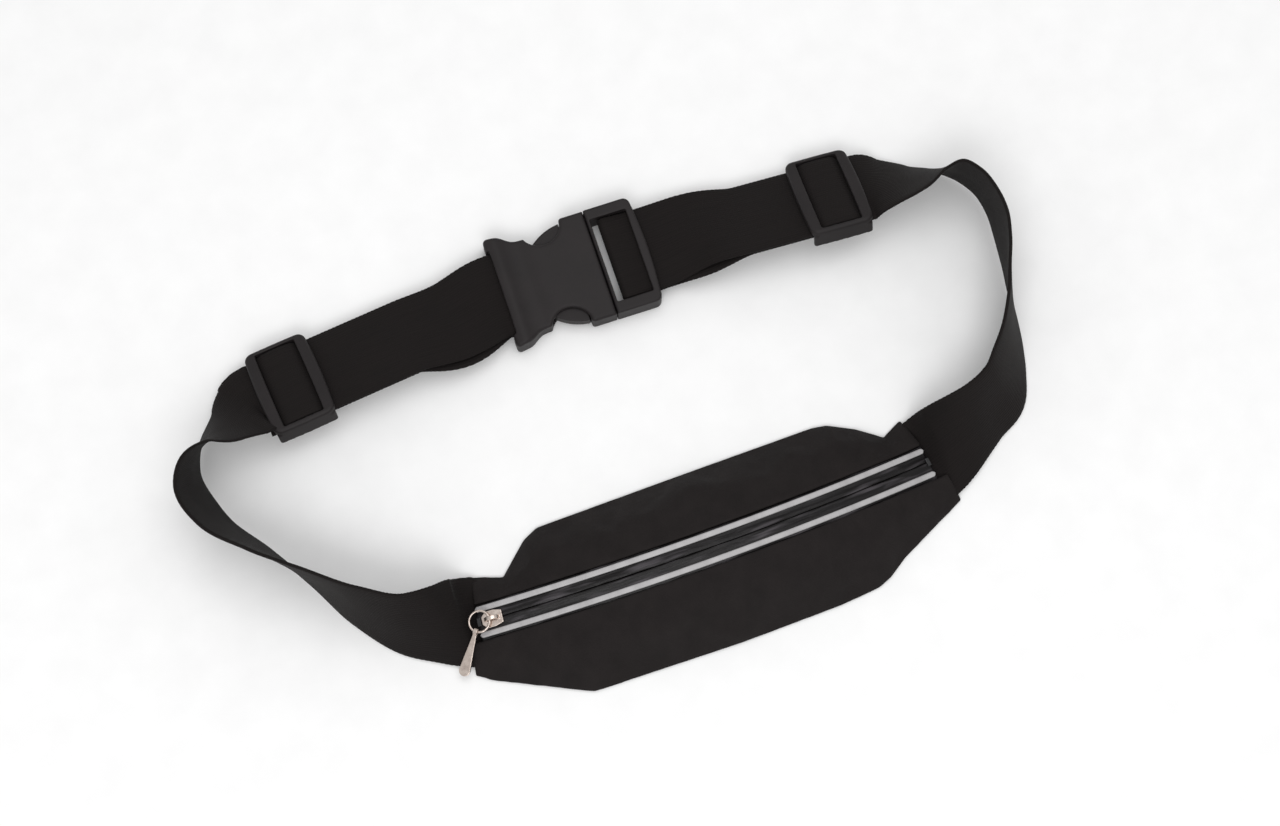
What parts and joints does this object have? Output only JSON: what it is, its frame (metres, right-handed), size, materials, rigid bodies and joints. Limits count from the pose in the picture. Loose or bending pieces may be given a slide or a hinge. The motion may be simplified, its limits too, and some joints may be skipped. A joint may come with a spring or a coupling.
{
  "type": "waist pack",
  "caption": "Slim zipped waist pack on an elastic webbing belt with a side-release buckle, sliding adjusters and reflective strips along the zip, laid flat.",
  "frame": {"origin": "on the flat outer face of the back panel, midway between the two end tabs, 3.8 mm from under the zip's crest towards the buckle", "axes": "+X along the pouch from the closed end of the zip, +Y from the pouch to the buckle, +Z out of the front of the pouch, up as it lies on its back"},
  "size_m": [0.3654, 0.1992, 0.0391],
  "materials": {
    "panel_fabric": "matte knitted stretch cloth",
    "webbing": "matte ribbed elastic webbing",
    "zip_tape": "coated, semi-gloss",
    "zip_coil": "satin coil",
    "reflective": "silver retro-reflective tape",
    "metal": "bright plated die-cast metal",
    "plastic": "fine matte moulded acetal"
  },
  "bodies": {
    "pouch": {"back_panel": "panel_fabric", "front_panel_upper": "panel_fabric", "front_panel_lower": "panel_fabric", "zip_tape_upper": "zip_tape", "zip_tape_lower": "zip_tape", "zip_coil_upper": "zip_coil", "zip_coil_lower": "zip_coil", "zip_stop_left": "zip_coil", "zip_stop_right": "zip_coil", "reflective_strip_upper": "reflective", "reflective_strip_lower": "reflective", "strap_left": "webbing", "strap_left_loop": "webbing", "strap_left_tail": "webbing", "strap_left_turn": "webbing", "strap_right": "webbing", "buckle_female": "plastic"},
    "slider": {"zip_slider": "metal"},
    "ring": {"pull_ring": "metal"},
    "tab": {"pull_tab": "metal"},
    "left_glide": {"tri_glide_left": "plastic", "strap_left_fold": "webbing"},
    "male_half": {"buckle_male": "plastic", "buckle_tongue": "plastic", "strap_right_loop": "webbing", "strap_right_tail": "webbing", "strap_right_turn": "webbing"},
    "front_prong": {"prong_front": "plastic"},
    "back_prong": {"prong_back": "plastic"},
    "right_glide": {"tri_glide_right": "plastic", "strap_right_fold": "webbing"}
  },
  "joints": [
    {"name": "zip_slide", "type": "hinge", "parent": "pouch", "child": "slider", "pos_m": [0, 0.11861, -0.29076], "axis": [0, 0.9304, 0.3665], "range_deg": [0, 32.4]},
    {"name": "pull_ring_swing", "type": "hinge", "parent": "slider", "child": "ring", "pos_m": [-0.09523, 0.00123, 0.01094], "axis": [0.1026, 0.9946, 0.0136], "range_deg": [0, 90]},
    {"name": "pull_tab_swing", "type": "hinge", "parent": "ring", "child": "tab", "pos_m": [-0.10214, -0.00175, 0.00912], "axis": [-0.7493, 0.6278, -0.211], "range_deg": [0, 100]},
    {"name": "left_glide_slide", "type": "slide", "parent": "pouch", "child": "left_glide", "axis": [0.9963, 0.0858, 0], "range_m": [0, 0.038], "deforming": ["strap_left_tail"]},
    {"name": "buckle_release", "type": "slide", "parent": "pouch", "child": "male_half", "axis": [0.9997, -0.0262, 0], "range_m": [0, 0.038], "deforming": ["strap_right", "prong_front", "prong_back"]},
    {"name": "front_prong_squeeze", "type": "hinge", "parent": "male_half", "child": "front_prong", "pos_m": [-0.00076, 0.11823, 0.00545], "axis": [0, 0, -1], "range_deg": [0, 6.5], "stiffness_Nm_per_rad": 0.3},
    {"name": "back_prong_squeeze", "type": "hinge", "parent": "male_half", "child": "back_prong", "pos_m": [-0.00007, 0.14422, 0.00545], "axis": [0, 0, 1], "range_deg": [0, 6.5], "stiffness_Nm_per_rad": 0.3},
    {"name": "right_glide_slide", "type": "slide", "parent": "male_half", "child": "right_glide", "axis": [-0.9976, 0.0685, 0], "range_m": [0, 0.024], "deforming": ["strap_right_tail"]}
  ]
}
